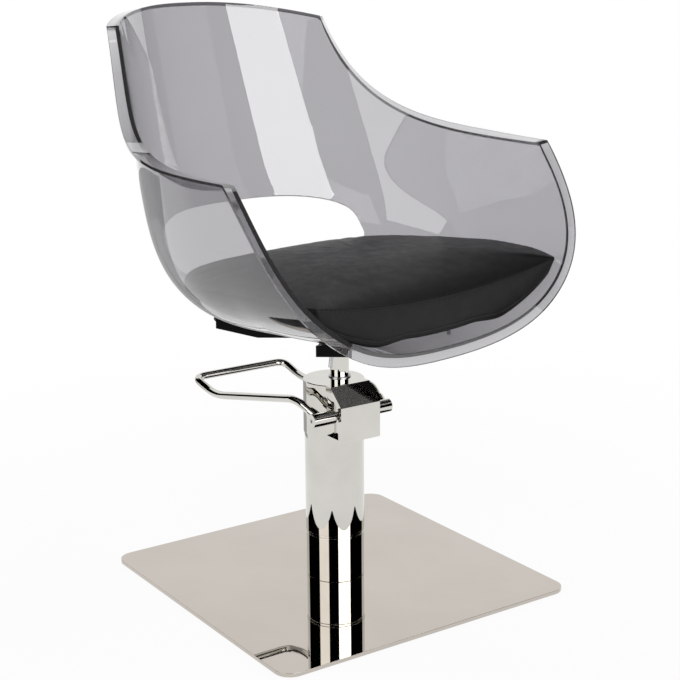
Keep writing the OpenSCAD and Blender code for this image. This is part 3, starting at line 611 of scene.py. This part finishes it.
# One ring of the cushion as a closed line on its finished skin, in metres
def ringOn(skin, marks, rise):
    ring = sorted((turn, i) for i, (r, turn) in enumerate(marks) if abs(r - rise) < 0.1)
    return [skin.data.vertices[i].co.copy() for turn, i in ring]


def addStitches(skin, marks):
    faces = [tuple(f.vertices) for f in skin.data.polygons]
    tree = BVHTree.FromPolygons([v.co for v in skin.data.vertices], faces)
    thick, thin = cushion["threadRadius"] / 1000, cushion["threadRadius"] * cushion["threadTaper"] / 1000
    bm = bmesh.new()
    for rise in cushion["stitchRows"]:
        ring = ringOn(skin, marks, rise)
        carried = 0.0
        for a, b in zip(ring, ring[1:] + ring[:1]):
            carried += (b - a).length * 1000
            if carried < cushion["pitch"]:
                continue
            carried = 0.0
            place, normal, _, _ = tree.find_nearest((a + b) / 2)
            along = (b - a).normalized()
            across = normal.cross(along).normalized()
            turn = Matrix((across, normal, along)).transposed().to_4x4()
            bmesh.ops.create_cone(bm, cap_ends=True, segments=6, radius1=thick, radius2=thin,
                                  depth=cushion["stitch"] / 1000, matrix=Matrix.Translation(place) @ turn)
    return finishPiece("cushionStitches", bm, thread, "seat", seatFrame=False)


def addSeamCord(skin, marks):
    ring = ringOn(skin, marks, cushion["lowSeam"])
    curve = bpy.data.curves.new("cushionSeamCord", "CURVE")
    curve.dimensions, curve.bevel_depth, curve.bevel_resolution = "3D", cushion["cordRadius"] / 1000, 2
    line = curve.splines.new("POLY")
    line.points.add(len(ring) - 1)
    for point, place in zip(line.points, ring):
        point.co = (*place, 1)
    line.use_cyclic_u = True
    curve.materials.append(thread)
    piece = bpy.data.objects.new("cushionSeamCord", curve)
    scene.collection.objects.link(piece)
    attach(piece, "seat")
    return piece


seatCushion, seatMarks = makeCushion()
addStitches(seatCushion, seatMarks)
addSeamCord(seatCushion, seatMarks)
print("cushion made", len(seatCushion.data.polygons))

# CAD nodes that keep their shape: a merged copy with small rounded edges and smooth faces.
# Each has its finish, its slot and the round on its edges in millimetres.
dressed = {
    "base_cover": (plateSteel, "polished_steel", 0.5), "base_weight": (castIron, "cast_iron", 0.5),
    "floor_pad": (rubber, "rubber", 0.2), "base_screws": (steel, "steel", 0.2),
    "pump_foot": (castIron, "cast_iron", 0.6), "lower_collar": (chrome, "polished_steel", 0.8),
    "column_ring": (chrome, "polished_steel", 0.5), "column_tube": (chrome, "polished_steel", 0.4),
    "pump_cylinder": (steel, "steel", 0.4), "plunger_barrel": (steel, "steel", 0.4),
    "pump_head": (chrome, "polished_steel", 0.9), "guide_bush": (bronze, "bronze", 0.3),
    "rod_gland": (steel, "steel", 0.5), "lever_shaft": (steel, "steel", 0.4),
    "lever_cam": (steel, "steel", 0.5), "lever_hubs": (chrome, "polished_steel", 0.7),
    "hub_screws": (steel, "steel", 0.2), "foot_lever": (chrome, "polished_steel", 0.3),
    "plunger": (steel, "steel", 0.3), "piston": (steel, "steel", 0.4), "piston_seal": (rubber, "rubber", 0.2),
    "thrust_washer": (bronze, "bronze", 0.2), "piston_rod": (chrome, "polished_steel", 0.5),
    "seat_bracket": (blackPaint, "black_paint", 2.8), "bracket_pads": (rubber, "rubber", 0.6),
    "seat_bolts": (steel, "steel", 0.3), "bolt_washers": (steel, "steel", 0.2)}
dressing = {"mergeWithin": 0.000002, "flatTurn": 0.3, "sharpTurn": 32, "roundSteps": 3}  # metres and degrees


def mergedCopy(node):
    bm = bmesh.new()
    bm.from_mesh(node.data)
    bmesh.ops.remove_doubles(bm, verts=bm.verts, dist=dressing["mergeWithin"])
    return bm


def dressNode(name, material, roundMm):
    node = frame["nodes"][name]
    bm = mergedCopy(node)
    flatTurn, sharpTurn = math.radians(dressing["flatTurn"]), math.radians(dressing["sharpTurn"])
    bmesh.ops.dissolve_limit(bm, angle_limit=flatTurn, verts=bm.verts, edges=bm.edges)
    for e in bm.edges:
        e.smooth = not (len(e.link_faces) == 2 and e.calc_face_angle() > sharpTurn)
    piece = finishPiece(name + "_skin", bm, material, node["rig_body"], seatFrame=False)
    rounded = piece.modifiers.new("rounded", "BEVEL")
    rounded.limit_method, rounded.angle_limit = "ANGLE", sharpTurn
    rounded.width, rounded.segments, rounded.use_clamp_overlap = roundMm / 1000, dressing["roundSteps"], True
    weighted = piece.modifiers.new("weighted", "WEIGHTED_NORMAL")
    weighted.keep_sharp = True
    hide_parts(name)
    return piece


# The return spring: a merged copy of its CAD node, with a mesh of its own
def addSpring():
    node = frame["nodes"]["plunger_spring"]
    bm = mergedCopy(node)
    piece = finishPiece("plunger_spring_skin", bm, steel, node["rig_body"], seatFrame=False)
    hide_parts("plunger_spring")
    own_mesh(piece)


for nodeName, (finish, slotName, roundMm) in dressed.items():
    dressNode(nodeName, finish, roundMm)
addSpring()
print("frame dressed")

# Floor, world and lamps. A lamp has its place, its target, its size and its power. A box stands on a circle:
# radius, from and to angle, low and high edge, glow.
stage = {"floorColour": (0.80, 0.80, 0.80), "floorRadius": 40, "floorSink": 0.0004, "worldLight": 0.55,
         "nearShare": 0.93, "farShare": 1.0, "fadeFrom": 0.5, "fadeTo": 1.6,
         "lamps": [("key", (-1.6, -2.2, 2.6), (0, 0, 0.5), 1.6, 34),
                   ("fill", (2.4, -1.2, 1.8), (0, 0, 0.4), 1.8, 20),
                   ("rear", (0.4, 2.6, 2.4), (0, 0, 0.5), 1.8, 22)],
         "room": {"radius": 4.0, "low": -0.02, "top": 4.2, "from": 106, "to": 366, "colour": 0.001},
         "boxes": [("boxFront", 3.0, -97, -59, 0.25, 0.95, 2.3), ("boxHigh", 3.0, -112, -64, 0.95, 2.6, 4.7),
                   ("boxLeft", 3.0, -190, -150, 0.05, 3.2, 2.0)],
         "card": {"from": 58, "to": 112, "near": 0.7, "far": 3.9, "height": 0.002, "glow": 0.46},
         "panelSteps": 48}


# What the camera, reflections and refractions see: there the floor and the world are plain white
def seenShare(tree):
    path = addNode(tree, "ShaderNodeLightPath").outputs
    first = addNode(tree, "ShaderNodeMath", {"operation": "MAXIMUM"}, i0=path["Is Camera Ray"],
                    i1=path["Is Glossy Ray"])
    seen = addNode(tree, "ShaderNodeMath", {"operation": "MAXIMUM"}, i0=first.outputs[0],
                   i1=path["Is Transmission Ray"])
    return seen.outputs[0]


def addFloor():
    material, tree, shader, out = newMaterial("paleFloor")
    bm = bmesh.new()
    bmesh.ops.create_circle(bm, cap_ends=True, segments=128, radius=stage["floorRadius"])
    floor = finishPiece("floor", bm, material, None, seatFrame=False)
    floor.location.z = -stage["floorSink"]
    shader.inputs["Base Color"].default_value = (*stage["floorColour"], 1)
    shader.inputs["Roughness"].default_value = 0.9
    shader.inputs["Specular IOR Level"].default_value = 0.2
    place = addNode(tree, "ShaderNodeTexCoord").outputs["Object"]
    far = addNode(tree, "ShaderNodeVectorMath", {"operation": "LENGTH"}, i0=place).outputs["Value"]
    fade = spread(tree, far, stage["nearShare"], stage["farShare"], stage["fadeFrom"], stage["fadeTo"])
    share = addNode(tree, "ShaderNodeMath", {"operation": "MULTIPLY"}, i0=fade, i1=seenShare(tree)).outputs[0]
    glow = addNode(tree, "ShaderNodeEmission", Color=(1, 1, 1, 1), Strength=1.0)
    mix = addNode(tree, "ShaderNodeMixShader", Fac=share, i1=shader.outputs[0], i2=glow.outputs[0])
    tree.links.new(mix.outputs[0], out.inputs["Surface"])


def addWorld():
    world = bpy.data.worlds.new("studio")
    scene.world = world
    world.use_nodes = True
    tree = world.node_tree
    plain = next(n for n in tree.nodes if n.type == "BACKGROUND")
    plain.inputs["Strength"].default_value = stage["worldLight"]
    plain.inputs["Color"].default_value = (1, 1, 1, 1)
    white = addNode(tree, "ShaderNodeBackground", Color=(1, 1, 1, 1), Strength=1.0)
    mix = addNode(tree, "ShaderNodeMixShader", Fac=seenShare(tree), i1=plain.outputs[0], i2=white.outputs[0])
    out = next(n for n in tree.nodes if n.type == "OUTPUT_WORLD")
    tree.links.new(mix.outputs[0], out.inputs["Surface"])


def addLamps():
    for name, place, target, size, power in stage["lamps"]:
        light = bpy.data.lights.new(name, "AREA")
        light.shape, light.size, light.energy = "SQUARE", size, power
        lamp = bpy.data.objects.new(name, light)
        scene.collection.objects.link(lamp)
        lamp.location = place
        lamp.visible_glossy = False
        lamp.rotation_euler = (Vector(target) - Vector(place)).to_track_quat("-Z", "Y").to_euler()


# A dark room and bright panels that only reflections see, as in a photographer's studio.
# A panel with a colour is the room's own wall, which gets a ceiling.
def addPanel(name, radius, fromTurn, toTurn, low, high, glow, colour=0.0, far=None):
    material, _, shader, _ = newMaterial(name)
    shader.inputs["Base Color"].default_value = (colour, colour, colour, 1)
    shader.inputs["Roughness"].default_value = 1.0
    shader.inputs["Specular IOR Level"].default_value = 0.0
    shader.inputs["Emission Color"].default_value = (1, 1, 1, 1)
    shader.inputs["Emission Strength"].default_value = glow
    bm = bmesh.new()
    start = bm.verts.new((radius * cosine(fromTurn), radius * sine(fromTurn), low))
    end = bm.verts.new(((far or radius) * cosine(fromTurn), (far or radius) * sine(fromTurn), high))
    bm.edges.new((start, end))
    bmesh.ops.spin(bm, geom=bm.verts[:] + bm.edges[:], cent=(0, 0, 0), axis=(0, 0, 1),
                   steps=stage["panelSteps"], angle=math.radians(toTurn - fromTurn), use_merge=False,
                   use_normal_flip=False)
    if colour:
        ceiling = Matrix.Translation((0, 0, high))
        bmesh.ops.create_circle(bm, cap_ends=True, segments=64, radius=radius, matrix=ceiling)
    panel = finishPiece(name, bm, material, None, seatFrame=False)
    panel.visible_camera = panel.visible_diffuse = panel.visible_transmission = panel.visible_shadow = False


def addStudio():
    room = stage["room"]
    addPanel("darkRoom", room["radius"], room["from"], room["to"], room["low"], room["top"], 0,
             colour=room["colour"])
    for name, radius, fromTurn, toTurn, low, high, glow in stage["boxes"]:
        addPanel(name, radius, fromTurn, toTurn, low, high, glow)
    card = stage["card"]
    addPanel("greyCard", card["near"], card["from"], card["to"], card["height"], card["height"], card["glow"],
             far=card["far"])


addFloor()
addWorld()
addLamps()
addStudio()
print("stage set")
